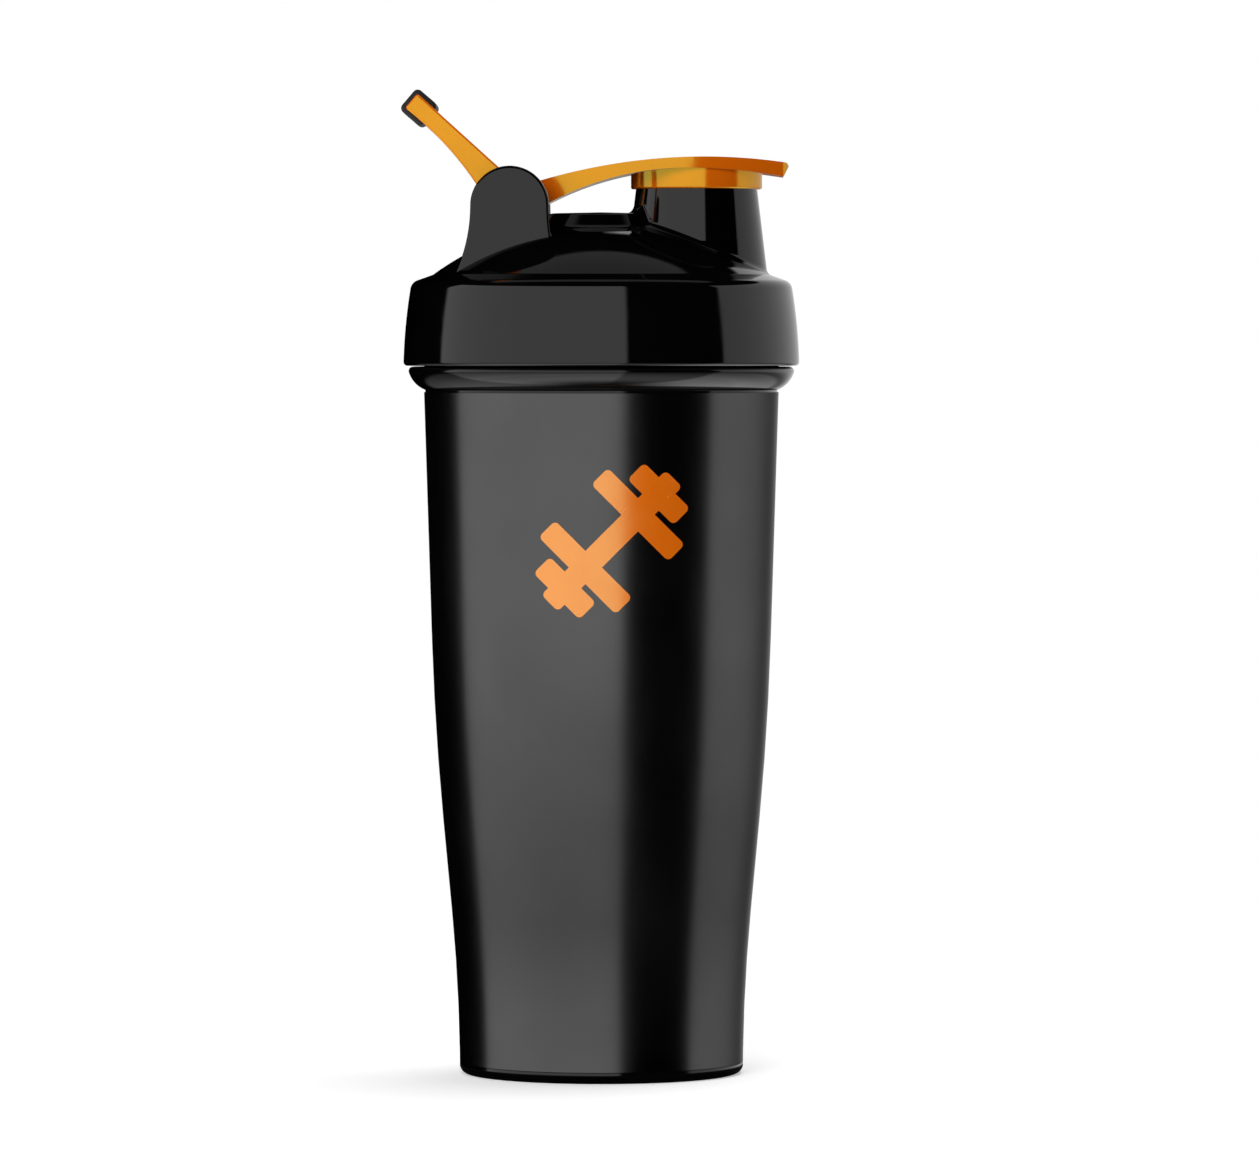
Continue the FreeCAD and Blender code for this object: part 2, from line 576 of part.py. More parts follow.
# ---------------------------------------------------------------- carry loop and grip
def square_at_tip(body, name, side, corner=None):
    # a square section, square to the loop's tip, rounded where a corner radius is given
    sketch = sketch_on(body, name, "XZ_Plane")
    corners = []
    for along, across in ((-1, -1), (1, -1), (1, 1), (-1, 1)):
        angle = "loopTipAngle"
        x = "loopTipX + (%d * cos(%s) - %d * sin(%s)) * (%s) / 2" % (along, angle, across, angle, side)
        z = "loopTipHeight + (%d * sin(%s) + %d * cos(%s)) * (%s) / 2" % (along, angle, across, angle, side)
        corners.append((x, z, {"round": corner} if corner else {}))
    return outline(sketch, corners)


def make_carry_loop():
    body = new_body("carry_loop")
    tip = "(%s * cos(loopTipAngle) - %s * sin(loopTipAngle)) * loopTipWide / 2"
    lift = "(%s * sin(loopTipAngle) + %s * cos(loopTipAngle)) * loopTipWide / 2"
    padded(body, "crossbar", square_at_tip(body, "bar_section", "gripCore"), "loopInner * 2 + loopArm",
           midplane=True)
    for name, plane in (("arm_front", "loopInner + loopArm"), ("arm_back", "-loopInner")):
        arm = outline(sketch_on(body, name + "_outline", "XZ_Plane", offset=plane), [
            ("pivotX - eyeRadius", "pivotHeight", half_round("eyeRadius")),
            ("pivotX + eyeRadius", "pivotHeight", {"bow": ("eyeRadius", "left")}),
            ("pivotX + eyeRadius * sin(loopTipAngle)", "pivotHeight - eyeRadius * cos(loopTipAngle)"),
            ("loopTipX + " + tip % ("1", "-1"), "loopTipHeight + " + lift % ("1", "-1")),
            ("loopTipX + " + tip % ("1", "1"), "loopTipHeight + " + lift % ("1", "1"),
             {"bow": ("loopCurve", "right")}),
        ])
        padded(body, name, arm, "loopArm", reverse=True)
    eye = circle(sketch_on(body, "eye_bore", "XZ_Plane"), "pivotX", "pivotHeight", "pinRadius + pinGap")
    body.Tip = pocketed(body, "eye_bores", eye, "earOuter * 4", midplane=True)
    return body


def make_loop_grip():
    body = new_body("loop_grip")
    padded(body, "grip", square_at_tip(body, "grip_section", "gripSide", "gripRound"),
           "(loopInner - gripPlay) * 2", midplane=True)
    body.Tip = pocketed(body, "grip_hole", square_at_tip(body, "hole_section", "gripCore"), "loopInner * 4",
                        midplane=True)
    return body


# ---------------------------------------------------------------- whisk ball
def make_whisk_ball():
    # one length of wire wound on a sphere, from a small eye at the foot to the same eye at the top
    radius = value("ballRadius - wireRadius")
    centre = Vector(0, 0, value("floorHeight + ballGap + ballRadius"))
    pole = math.asin(value("poleRadius") / radius)
    turns = value("ballTurns")

    def spot(share):
        slope = pole + (math.pi - 2 * pole) * share
        angle = 2 * math.pi * turns * share
        return centre + Vector(math.sin(slope) * math.cos(angle), math.sin(slope) * math.sin(angle),
                               -math.cos(slope)) * radius

    def heading(share):
        return (spot(share + 1e-5) - spot(share - 1e-5)).normalize()

    def arc(start, way, end):
        # the circular arc that leaves start along way and reaches end
        chord = end - start
        normal = way.cross(chord).normalize()
        inward = normal.cross(way)
        bend = chord.dot(chord) / (2 * chord.dot(inward))
        middle = start + inward * bend
        half = ((start + end) / 2 - middle).normalize() * abs(bend)
        return Part.Arc(start, middle + half, end).toShape()

    steps = int(turns * 6)
    edges = []
    for i in range(steps):
        start, end = spot(i / steps), spot((i + 1) / steps)
        way, way_end = heading(i / steps), heading((i + 1) / steps)
        chord, both, bend = end - start, way + way_end, 2 * (1 - way.dot(way_end))
        reach = (-chord.dot(both) + math.sqrt(chord.dot(both) ** 2 + bend * chord.dot(chord))) / bend
        join = (start + end + (way - way_end) * reach) / 2
        edges.append(arc(start, way, join))
        back = arc(end, way_end * -1, join)
        middle = back.valueAt((back.FirstParameter + back.LastParameter) / 2)
        edges.append(Part.Arc(join, middle, end).toShape())
    path = Part.Wire(edges)
    ring = Part.Wire(Part.makeCircle(value("wireRadius"), spot(0), heading(0)))
    ball = doc.addObject("Part::Feature", "whisk_ball")
    ball.Shape = path.makePipeShell([ring], True, False)
    ball.Label = "whisk_ball"
    return ball


pieces = [
    make_cup(), make_cup_sleeve(), make_front_mark(), make_lid(), make_lid_seal(), make_hinge_pin(),
    make_flip_cap(), make_spout_stopper(), make_carry_loop(), make_loop_grip(), make_whisk_ball(),
]
doc.recompute()

for item in doc.Objects:
    if "Invalid" in item.State or "Error" in item.State:
        raise RuntimeError("%s failed: %s" % (item.Name, item.State))
os.makedirs("parts", exist_ok=True)
for piece in pieces:
    shape = piece.Shape
    if shape.isNull() or not shape.isValid() or not shape.Solids:
        raise RuntimeError(piece.Label + " has no valid solid")
    shape.exportStep("parts/%s.step" % piece.Label)
    print("%-14s solids %d volume %.0f mm3" % (piece.Label, len(shape.Solids), shape.Volume))
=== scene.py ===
# Looks for the shaker bottle: smooth moulded shells, print, rubber and steel round the fixed CAD frame.
import json
import math
import bmesh
import bpy
from mathutils import Matrix, Vector


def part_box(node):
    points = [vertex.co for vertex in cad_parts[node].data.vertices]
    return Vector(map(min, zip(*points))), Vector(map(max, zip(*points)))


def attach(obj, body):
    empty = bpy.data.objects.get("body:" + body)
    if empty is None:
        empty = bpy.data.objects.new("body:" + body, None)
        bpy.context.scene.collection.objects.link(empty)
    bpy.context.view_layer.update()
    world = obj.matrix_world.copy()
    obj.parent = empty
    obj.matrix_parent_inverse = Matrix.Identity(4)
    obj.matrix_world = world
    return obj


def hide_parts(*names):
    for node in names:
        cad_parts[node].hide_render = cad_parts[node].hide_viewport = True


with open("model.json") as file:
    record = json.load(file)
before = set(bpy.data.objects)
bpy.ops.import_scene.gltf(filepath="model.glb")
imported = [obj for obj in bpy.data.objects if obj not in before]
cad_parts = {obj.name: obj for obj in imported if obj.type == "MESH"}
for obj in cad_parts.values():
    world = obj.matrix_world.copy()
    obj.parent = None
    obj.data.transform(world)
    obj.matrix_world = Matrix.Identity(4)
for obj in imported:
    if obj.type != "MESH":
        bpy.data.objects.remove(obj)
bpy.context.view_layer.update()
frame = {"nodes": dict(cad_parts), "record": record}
mm = 0.001


# ---- reading the frame
def boxMm(node):
    low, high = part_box(node)
    return Vector(low) / mm, Vector(high) / mm


hinge = [joint for joint in frame["record"]["behaviour"]["joints"] if joint["name"] == "flip_cap_hinge"][0]
pivot = Vector(hinge["pos_m"]) / mm
cupLow, cupHigh = boxMm("cup")
sleeveLow, sleeveHigh = boxMm("cup_sleeve")
lidLow, lidHigh = boxMm("lid")
plugLow, plugHigh = boxMm("spout_stopper")
gripLow, gripHigh = boxMm("loop_grip")
markLow, markHigh = boxMm("front_mark")
spoutX = (plugLow.x + plugHigh.x) / 2
rimHeight = cupHigh.z  # top of the cup's neck
beadTop = lidLow.z - 0.2


# ---- outlines: corners become points, with rounded corners and bowed runs
def bowed(start, end, radius, fine=2.0):
    # points of an arc from start to end; a positive radius bows to the right of the way
    chord = end - start
    half = chord.length / 2
    side = Vector((chord.y, -chord.x)).normalized()
    centre = (start + end) / 2 - side * math.sqrt(radius * radius - half * half) * math.copysign(1, radius)
    turn = 2 * math.asin(half / abs(radius)) * math.copysign(1, radius)
    count = max(3, math.ceil(abs(turn) / math.radians(4)), math.ceil(2 * half / fine))
    arm = start - centre
    points = []
    for i in range(1, count):
        spun = arm.copy()
        spun.rotate(Matrix.Rotation(turn * i / count, 2))
        points.append(centre + spun)
    return points


def outline(corners, closed=True, turnStep=7):
    # corners are (x, y), (x, y, rounding) or (x, y, rounding, bow of the run that follows)
    run = []
    for i, corner in enumerate(corners):
        start = Vector(corner[:2])
        run.append((start, corner[2] if len(corner) > 2 else 0))
        if len(corner) > 3:
            end = Vector(corners[(i + 1) % len(corners)][:2])
            run += [(point, 0) for point in bowed(start, end, corner[3])]
    points = []
    for i, (spot, radius) in enumerate(run):
        inside = closed or 0 < i < len(run) - 1
        if not radius or not inside:
            points.append(spot)
            continue
        back = (run[i - 1][0] - spot).normalized()
        ahead = (run[(i + 1) % len(run)][0] - spot).normalized()
        opening = back.angle(ahead)
        reach = radius / math.tan(opening / 2)
        enter, leave = spot + back * reach, spot + ahead * reach
        left = back.x * ahead.y - back.y * ahead.x < 0
        count = max(2, math.ceil((math.pi - opening) / math.radians(turnStep)))
        arc = bowed(enter, leave, radius if left else -radius, 2 * radius * math.sin((math.pi - opening) / 2) / count)
        points += [enter] + arc + [leave]
    return points


# ---- meshes
def meshObject(name, verts, faces):
    mesh = bpy.data.meshes.new(name)
    mesh.from_pydata([tuple(v * mm) for v in verts], [], faces)
    solid = bmesh.new()
    solid.from_mesh(mesh)
    bmesh.ops.recalc_face_normals(solid, faces=solid.faces)
    solid.to_mesh(mesh)
    solid.free()
    piece = bpy.data.objects.new(name, mesh)
    bpy.context.scene.collection.objects.link(piece)
    return piece


def turned(name, profile, steps=240, centre=(0, 0), closed=False):
    # a full turn of (radius, height) points about an upright line; points on the line become poles
    verts, rings = [], []
    for radius, height in profile:
        if radius < 1e-6:
            rings.append([len(verts)] * steps)
            verts.append(Vector((centre[0], centre[1], height)))
            continue
        rings.append(list(range(len(verts), len(verts) + steps)))
        for i in range(steps):
            angle = 2 * math.pi * i / steps
            verts.append(Vector((centre[0] + radius * math.cos(angle), centre[1] + radius * math.sin(angle), height)))
    faces = []
    pairs = list(zip(rings, rings[1:])) + ([(rings[-1], rings[0])] if closed else [])
    for low, high in pairs:
        for i in range(steps):
            j = (i + 1) % steps
            face = [low[i], low[j], high[j], high[i]]
            face = [v for k, v in enumerate(face) if v not in face[:k]]
            if len(face) > 2:
                faces.append(face)
    return meshObject(name, verts, faces)


def slab(name, points, thick, bevel=0.0, turn="front", middle=0.0):
    # a flat plate of the outline with rounded rims; "front" stands it in the XZ plane, "top" lays it in XY
    curve = bpy.data.curves.new(name, "CURVE")
    curve.dimensions = "2D"
    curve.fill_mode = "BOTH"
    spline = curve.splines.new("POLY")
    spline.points.add(len(points) - 1)
    for point, spot in zip(spline.points, points):
        point.co = (spot.x * mm, spot.y * mm, 0, 1)
    spline.use_cyclic_u = True
    curve.extrude = (thick / 2 - bevel) * mm
    curve.bevel_depth = bevel * mm
    curve.bevel_resolution = 3
    curve.offset = -bevel * mm
    holder = bpy.data.objects.new(name + "Curve", curve)
    bpy.context.scene.collection.objects.link(holder)
    mesh = bpy.data.meshes.new_from_object(holder)
    bpy.data.objects.remove(holder)
    mesh.name = name
    if turn == "front":
        mesh.transform(Matrix.Translation((0, middle * mm, 0)) @ Matrix.Rotation(math.pi / 2, 4, "X"))
    else:
        mesh.transform(Matrix.Translation((0, 0, middle * mm)))
    piece = bpy.data.objects.new(name, mesh)
    bpy.context.scene.collection.objects.link(piece)
    return welded(piece)


def applied(piece):
    # keeps what the modifiers make and drops the modifiers
    depsgraph = bpy.context.evaluated_depsgraph_get()
    mesh = bpy.data.meshes.new_from_object(piece.evaluated_get(depsgraph))
    piece.modifiers.clear()
    piece.data = mesh
    return piece


def welded(piece, gap=0.0005):
    weld = piece.modifiers.new("weld", "WELD")
    weld.merge_threshold = gap * mm
    return applied(piece)


def cut(piece, tool, operation="DIFFERENCE"):
    step = piece.modifiers.new(operation, "BOOLEAN")
    step.operation = operation
    step.solver = "EXACT"
    step.object = tool
    applied(piece)
    bpy.data.objects.remove(tool)
    return piece


def added(piece, other):
    # puts the other mesh beside the piece's own, without cutting either
    both = bmesh.new()
    both.from_mesh(piece.data)
    both.from_mesh(other.data)
    both.to_mesh(piece.data)
    both.free()
    bpy.data.objects.remove(other)
    return piece


def joined(piece, tool):
    return cut(piece, tool, "UNION")


def kept(piece, tool):
    return cut(piece, tool, "INTERSECT")


def bevelled(piece, width, angle=35, segments=4):
    step = piece.modifiers.new("bevel", "BEVEL")
    step.width = width * mm
    step.limit_method = "ANGLE"
    step.angle_limit = math.radians(angle)
    step.segments = segments
    step.miter_outer = "MITER_ARC"
    return applied(piece)


def finished(piece, body, look, node=None, sharp=28):
    # smooth shading with true creases, the body it rides on, its finish, and the CAD node it stands for
    piece.data.materials.clear()
    piece.data.materials.append(look)
    piece.data.shade_smooth()
    piece.data.set_sharp_from_angle(angle=math.radians(sharp))
    weigh = piece.modifiers.new("weightedNormals", "WEIGHTED_NORMAL")
    weigh.keep_sharp = True
    weigh.weight = 80
    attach(piece, body)
    if node:
        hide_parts(node)
    print("made", piece.name)
    return piece


# ---- shaders: a Link wraps a socket so that sums read as sums
class Link:
    def __init__(self, maker, socket):
        self.maker, self.socket = maker, socket

    def math(self, operation, *values):
        return self.maker.node("ShaderNodeMath", {"operation": operation}, values)

    def __add__(self, other):
        return self.math("ADD", self, other)

    def __sub__(self, other):
        return self.math("SUBTRACT", self, other)

    def __rsub__(self, other):
        return self.math("SUBTRACT", other, self)

    def __mul__(self, other):
        return self.math("MULTIPLY", self, other)

    def __truediv__(self, other):
        return self.math("DIVIDE", self, other)

    __radd__ = __add__
    __rmul__ = __mul__


class Maker:
    def __init__(self, tree):
        self.tree = tree
        tree.nodes.clear()

    def node(self, kind, settings=None, inputs=(), output=0):
        made = self.tree.nodes.new(kind)
        for key, setting in (settings or {}).items():
            if key == "stops":
                ramp = made.color_ramp
                while len(ramp.elements) < len(setting):
                    ramp.elements.new(0.5)
                for stop, (place, colour) in zip(ramp.elements, setting):
                    stop.position, stop.color = place, colour
            else:
                setattr(made, key, setting)
        pairs = inputs.items() if isinstance(inputs, dict) else enumerate(inputs)
        for key, value in pairs:
            if isinstance(value, Link):
                self.tree.links.new(value.socket, made.inputs[key])
            else:
                made.inputs[key].default_value = value
        return Link(self, made.outputs[output]) if made.outputs else None

    def noise(self, scale, detail=2.0, stretch=(1, 1, 1), roughness=0.5):
        place = self.node("ShaderNodeTexCoord", output=3)
        spread = self.node("ShaderNodeMapping", inputs={0: place, 3: stretch})
        return self.node("ShaderNodeTexNoise", {"noise_dimensions": "3D"},
                         {"Vector": spread, "Scale": scale, "Detail": detail, "Roughness": roughness})

    def ramp(self, value, stops):
        return self.node("ShaderNodeValToRGB", {"stops": stops}, [value])

    def spread(self, value, low, high, toLow=0.0, toHigh=1.0):
        return self.node("ShaderNodeMapRange", {"interpolation_type": "SMOOTHSTEP"},
                         [value, low, high, toLow, toHigh])

    def blend(self, share, first, second):
        return self.node("ShaderNodeMix", {"data_type": "RGBA"}, {0: share, 6: first, 7: second}, output=2)


def colour(red, green, blue):
    return (red, green, blue, 1.0)


def plastic(name, look):
    # a moulded or printed plastic: slow tone drift, wiped and dusty roughness, fine surface grain
    material = bpy.data.materials.new(name)
    material.use_nodes = True
    maker = Maker(material.node_tree)
    drift = maker.noise(look["driftScale"], 3)
    handled = maker.noise(look["handledScale"], 4, look.get("handledStretch", (1, 1, 1)), 0.6)
    specks = maker.noise(look["grainScale"], 2, look.get("grainStretch", (1, 1, 1)))
    tone = maker.blend(maker.spread(drift, 0.3, 0.7), look["dark"], look["light"])
    rough = look["rough"] + maker.spread(handled, 0.35, 0.75) * look["roughDrift"] + (specks - 0.5) * look["roughGrain"]
    bump = maker.node("ShaderNodeBump", inputs={"Strength": look["bump"], "Distance": look["bumpDepth"] * mm,
                                                "Height": specks + handled * look.get("wave", 0.0)})
    inputs = {"Base Color": tone, "Roughness": rough, "Normal": bump}
    inputs.update(look.get("fixed", {}))
    shader = maker.node("ShaderNodeBsdfPrincipled", inputs=inputs)
    maker.node("ShaderNodeOutputMaterial", inputs={"Surface": shader})
    return material


glossBlack = plastic("glossBlackPlastic", {
    "dark": colour(0.0006, 0.0006, 0.0007), "light": colour(0.0012, 0.0012, 0.0013), "driftScale": 40,
    "handledScale": 90, "rough": 0.045, "roughDrift": 0.05, "grainScale": 1400, "roughGrain": 0.03,
    "bump": 0.12, "bumpDepth": 0.01, "wave": 0.6,
})
cupBlack = plastic("cupBlackPlastic", {
    "dark": colour(0.0008, 0.0008, 0.0009), "light": colour(0.0016, 0.0016, 0.0017), "driftScale": 40,
    "handledScale": 90, "rough": 0.08, "roughDrift": 0.06, "grainScale": 1400, "roughGrain": 0.03,
    "bump": 0.12, "bumpDepth": 0.01, "wave": 0.5,
})
satinSleeve = plastic("satinSleeveFilm", {
    "dark": colour(0.104, 0.104, 0.105), "light": colour(0.116, 0.116, 0.117), "driftScale": 30,
    "handledScale": 60, "handledStretch": (1, 1, 0.35), "rough": 0.21, "roughDrift": 0.04, "grainScale": 2600,
    "roughGrain": 0.05, "bump": 0.12, "bumpDepth": 0.012,
    "fixed": {"Metallic": 1.0, "Specular Tint": colour(0.35, 0.35, 0.35)},
})
orangePlastic = plastic("orangePlastic", {
    "dark": colour(0.74, 0.130, 0.001), "light": colour(0.80, 0.150, 0.002), "driftScale": 50,
    "handledScale": 120, "rough": 0.12, "roughDrift": 0.05, "grainScale": 1500, "roughGrain": 0.03,
    "bump": 0.05, "bumpDepth": 0.008, "wave": 0.5,
    "fixed": {"IOR": 2.84, "Specular Tint": colour(1.0, 1.0, 0.10)},
})
orangePrint = plastic("orangePrint", {
    "dark": colour(0.91, 0.172, 0.001), "light": colour(0.96, 0.188, 0.002), "driftScale": 60,
    "handledScale": 150, "rough": 0.22, "roughDrift": 0.06, "grainScale": 2600, "roughGrain": 0.05,
    "bump": 0.12, "bumpDepth": 0.015,
    "fixed": {"IOR": 3.1, "Specular Tint": colour(1.0, 1.0, 0.45)},
})
blackRubber = plastic("blackRubber", {
    "dark": colour(0.012, 0.012, 0.012), "light": colour(0.022, 0.022, 0.022), "driftScale": 90,
    "handledScale": 160, "rough": 0.55, "roughDrift": 0.12, "grainScale": 3200, "roughGrain": 0.1,
    "bump": 0.5, "bumpDepth": 0.05,
})
greySilicone = plastic("greySilicone", {
    "dark": colour(0.11, 0.11, 0.115), "light": colour(0.15, 0.15, 0.155), "driftScale": 60,
    "handledScale": 140, "rough": 0.42, "roughDrift": 0.1, "grainScale": 2400, "roughGrain": 0.06,
    "bump": 0.2, "bumpDepth": 0.02,
})
clearSilicone = plastic("clearSilicone", {
    "dark": colour(0.50, 0.50, 0.48), "light": colour(0.58, 0.58, 0.56), "driftScale": 60,
    "handledScale": 140, "rough": 0.38, "roughDrift": 0.1, "grainScale": 2400, "roughGrain": 0.06,
    "bump": 0.2, "bumpDepth": 0.02,
})
steel = plastic("polishedSteelWire", {
    "dark": colour(0.52, 0.51, 0.49), "light": colour(0.64, 0.63, 0.61), "driftScale": 120,
    "handledScale": 400, "handledStretch": (1, 1, 0.2), "rough": 0.16, "roughDrift": 0.1, "grainScale": 3000,
    "roughGrain": 0.06, "bump": 0.2, "bumpDepth": 0.01, "fixed": {"Metallic": 1.0},
})
print("materials ready")


# ---- cup: one tapered wall with foot, bead and threaded neck
cup = {
    "footRadius": 34.54, "footRound": 2.2, "standRadius": 24.5, "standRecess": 1.2,
    "waist": (34.84, 22.6, 430), "hip": (40.59, 83.9, 700), "collarRadius": 43.15, "sleeveWall": 0.3,
    "wall": 1.8, "floor": 2.0, "beadRadius": 46.9, "beadFace": 1.3, "beadUnder": 6.8, "beadRound": 1.1, "collarLand": 0.5,
    "neckRadius": 43.0, "neckWall": 1.7, "rimRound": 0.5,
}


def cupSide(inset):
    # foot, waist, hip and collar of the outer side, moved in by inset
    waist, hip = cup["waist"], cup["hip"]
    return [
        (cup["footRadius"] - inset, sleeveLow.z),
        (waist[0] - inset, waist[1], waist[2]),
        (hip[0] - inset, hip[1], hip[2]),
        (cup["collarRadius"] - inset, sleeveHigh.z),
    ]


def makeCup():
    wall = cup["sleeveWall"] + cup["wall"]
    bore = cup["neckRadius"] - cup["neckWall"]
    waist, hip = cup["waist"], cup["hip"]
    recess = cup["standRecess"]
    floorHeight = recess + cup["floor"]
    beadBottom = sleeveHigh.z + cup["collarLand"]
    side = cupSide(cup["sleeveWall"])
    corners = [
        (0, recess),
        (cup["standRadius"] - 1.2, recess, 0.5),
        (cup["standRadius"], 0, 0.4),
        (cup["footRadius"], 0, cup["footRound"]),
        (cup["footRadius"], sleeveLow.z, 0.08),
        (side[0][0], side[0][1], 0.08),
        side[1], side[2],
        (side[3][0], beadBottom, 0, cup["beadUnder"]),
        (cup["beadRadius"], beadTop - cup["beadFace"]),
        (cup["beadRadius"], beadTop, cup["beadRound"]),
        (cup["neckRadius"], beadTop, 0.4),
        (cup["neckRadius"], rimHeight, cup["rimRound"]),
        (bore, rimHeight, cup["rimRound"]),
        (hip[0] - wall, hip[1], hip[2]),
        (waist[0] - wall, waist[1], waist[2]),
        (cup["footRadius"] - wall, floorHeight, 8),
        (0, floorHeight),
    ]
    body = turned("cupBody", outline(corners, closed=False))
    joined(body, threadRidge("neckThread", cup["neckRadius"], 1.2, beadTop + 6.9, 1.25))
    return finished(body, "cup", cupBlack, "cup")


def threadRidge(name, root, height, start, turns, pitch=6.0):
    # a right-hand ridge with run-out ends; a negative height stands inwards
    steps = int(turns * 120)
    sunk, halfRoot, halfCrest, runOut = -math.copysign(0.4, height), 1.1, 0.6, 0.09
    verts, faces = [], []
    for i in range(steps + 1):
        share = i / steps
        angle = 2 * math.pi * turns * share
        swell = min(1.0, share * turns / runOut + 0.02, (1 - share) * turns / runOut + 0.02)
        middle = start + pitch * turns * share
        for depth, half in ((sunk, -halfRoot), (height * swell, -halfCrest), (height * swell, halfCrest),
                            (sunk, halfRoot)):
            radius = root + depth
            verts.append(Vector((radius * math.cos(angle), radius * math.sin(angle), middle + half)))
    for i in range(steps):
        for k in range(4):
            a, b = i * 4 + k, i * 4 + (k + 1) % 4
            faces.append([a, b, b + 4, a + 4])
    faces += [[3, 2, 1, 0], [steps * 4 + k for k in range(4)]]
    return meshObject(name, verts, faces)


# ---- sleeve and the mark printed on it
def makeSleeve():
    outer, inner = cupSide(0), cupSide(cup["sleeveWall"])
    corners = [(r, h, 0.1) if i in (0, 3) else (r, h, c[0]) for i, (r, h, *c) in enumerate(outer)]
    corners += [(r, h, 0.1) if i in (0, 3) else (r, h, c[0]) for i, (r, h, *c) in list(enumerate(inner))[::-1]]
    film = turned("sleeveFilm", outline(corners), steps=288, closed=True)
    return finished(film, "cup", satinSleeve, "cup_sleeve")


mark = {"tilt": 45, "barLong": 42, "barWide": 5.6, "plate": 5.6, "innerLong": 26, "innerAt": 8.9,
        "outerLong": 15.5, "outerAt": 15.9, "round": 1.2, "proud": 0.12, "sunk": 0.08}


def makeMark():
    def block(long, wide, at):
        corners = [(at - wide / 2, -long / 2), (at + wide / 2, -long / 2), (at + wide / 2, long / 2),
                   (at - wide / 2, long / 2)]
        return slab("block", outline([(x, y, mark["round"]) for x, y in corners], turnStep=12), 60, middle=-30)

    stamp = block(mark["barWide"], mark["barLong"], 0)
    for side in (-1, 1):
        joined(stamp, block(mark["innerLong"], mark["plate"], side * mark["innerAt"]))
        joined(stamp, block(mark["outerLong"], mark["plate"], side * mark["outerAt"]))
    middle = (markLow + markHigh) / 2
    stamp.data.transform(Matrix.Translation((middle.x * mm, 0, middle.z * mm))
                         @ Matrix.Rotation(-math.radians(mark["tilt"]), 4, "Y"))
    (hipR, hipZ, _), topR, topZ = cup["hip"], cup["collarRadius"], sleeveHigh.z

    def sleeveRadius(height):
        return hipR + (topR - hipR) * (height - hipZ) / (topZ - hipZ)

    low, high = markLow.z - 3, markHigh.z + 3
    profile = [Vector((sleeveRadius(h) + lift, h)) for h, lift in (
        (low, -mark["sunk"]), (low, mark["proud"]), (high, mark["proud"]), (high, -mark["sunk"]))]
    print_ = welded(kept(turned("frontMark", profile, steps=480, closed=True), stamp), gap=0.03)
    return finished(print_, "cup", orangePrint, "front_mark")


# ---- lid: turned block, spout and ears as one moulding, hollowed
lid = {
    "skirtRadius": 48.17, "skirtTop": 46.2, "skirtHeight": 19.9, "skirtBow": 133, "skirtEdge": 0.9,
    "shoulderRound": 2.6, "bandRadius": 41, "bandRise": 2.2, "domeBow": 65, "domeTop": 15.8, "domeRise": 11.3,
    "plateau": 12.5, "plateauRise": 3.6, "crown": 0.3, "wall": 2.0, "threadWall": 44.7, "sealThick": 1.2,
    "spoutRadius": 14.5, "spoutTaper": 0.12, "spoutBore": 13, "spoutRound": 0.5, "spoutLift": 6.2,
    "spoutBlend": 2.2, "earRadius": 9.5, "earOuter": 20.5, "earInner": 17, "earEdge": 0.8,
    "earLeftFlare": 4.4, "earRightFlare": 2.2,
}
spoutHeight = pivot.z + lid["spoutLift"]


def flankBend(drop, flare):
    # the radius that leaves an ear's arch upright and stands out by the flare at its foot
    return (drop * drop + flare * flare) / (2 * flare)


def domeHeight(radius, band):
    # the height of the lid's outer top at a distance from its axis
    foot, top = Vector((lid["bandRadius"], band)), Vector((lid["domeTop"], band + lid["domeRise"]))
    if radius <= lid["plateau"]:
        return top.y + lid["plateauRise"]
    if radius <= lid["domeTop"]:
        return top.y + lid["plateauRise"] * (lid["domeTop"] - radius) / (lid["domeTop"] - lid["plateau"])
    chord = top - foot
    middle = (foot + top) / 2
    side = Vector((-chord.y, chord.x)).normalized()
    centre = middle + side * math.sqrt(lid["domeBow"] ** 2 - (chord.length / 2) ** 2)
    return centre.y + math.sqrt(lid["domeBow"] ** 2 - (radius - centre.x) ** 2)


def spoutFillet(band):
    # a rounded blend where the spout stands on the dome, rolled round as a ball between the two
    ball, steps, arcSteps = lid["spoutBlend"], 240, 14
    lean = math.atan(lid["spoutTaper"])
    verts, faces = [], []
    for i in range(steps):
        angle = 2 * math.pi * i / steps
        out = Vector((math.cos(angle), math.sin(angle), 0))
        height = band + 8
        for _ in range(60):
            reach = lid["spoutRadius"] + lid["spoutTaper"] * (spoutHeight - height) + ball / math.cos(lean)
            spot = Vector((spoutX, 0, 0)) + out * reach
            radius = spot.length
            slope = (domeHeight(radius + 0.4, band) - domeHeight(radius - 0.4, band)) / 0.8
            wanted = domeHeight(radius, band) + ball * math.sqrt(1 + slope * slope)
            height += (wanted - height) * 0.5
        centre = Vector((spot.x, spot.y, height))
        away = Vector((spot.x, spot.y, 0)).normalized()
        toCone = -(out * math.cos(lean) + Vector((0, 0, math.sin(lean))))
        toDome = -(Vector((0, 0, 1)) - away * slope).normalized()
        for k in range(arcSteps + 1):
            verts.append(centre + toCone.slerp(toDome, k / arcSteps) * ball)
        verts.append(centre + (toCone + toDome) * ball * 1.1)
    ring = arcSteps + 2
    for i in range(steps):
        a, b = i * ring, (i + 1) % steps * ring
        faces += [[a + k, b + k, b + (k + 1) % ring, a + (k + 1) % ring] for k in range(ring)]
    return meshObject("spoutBlend", verts, faces)


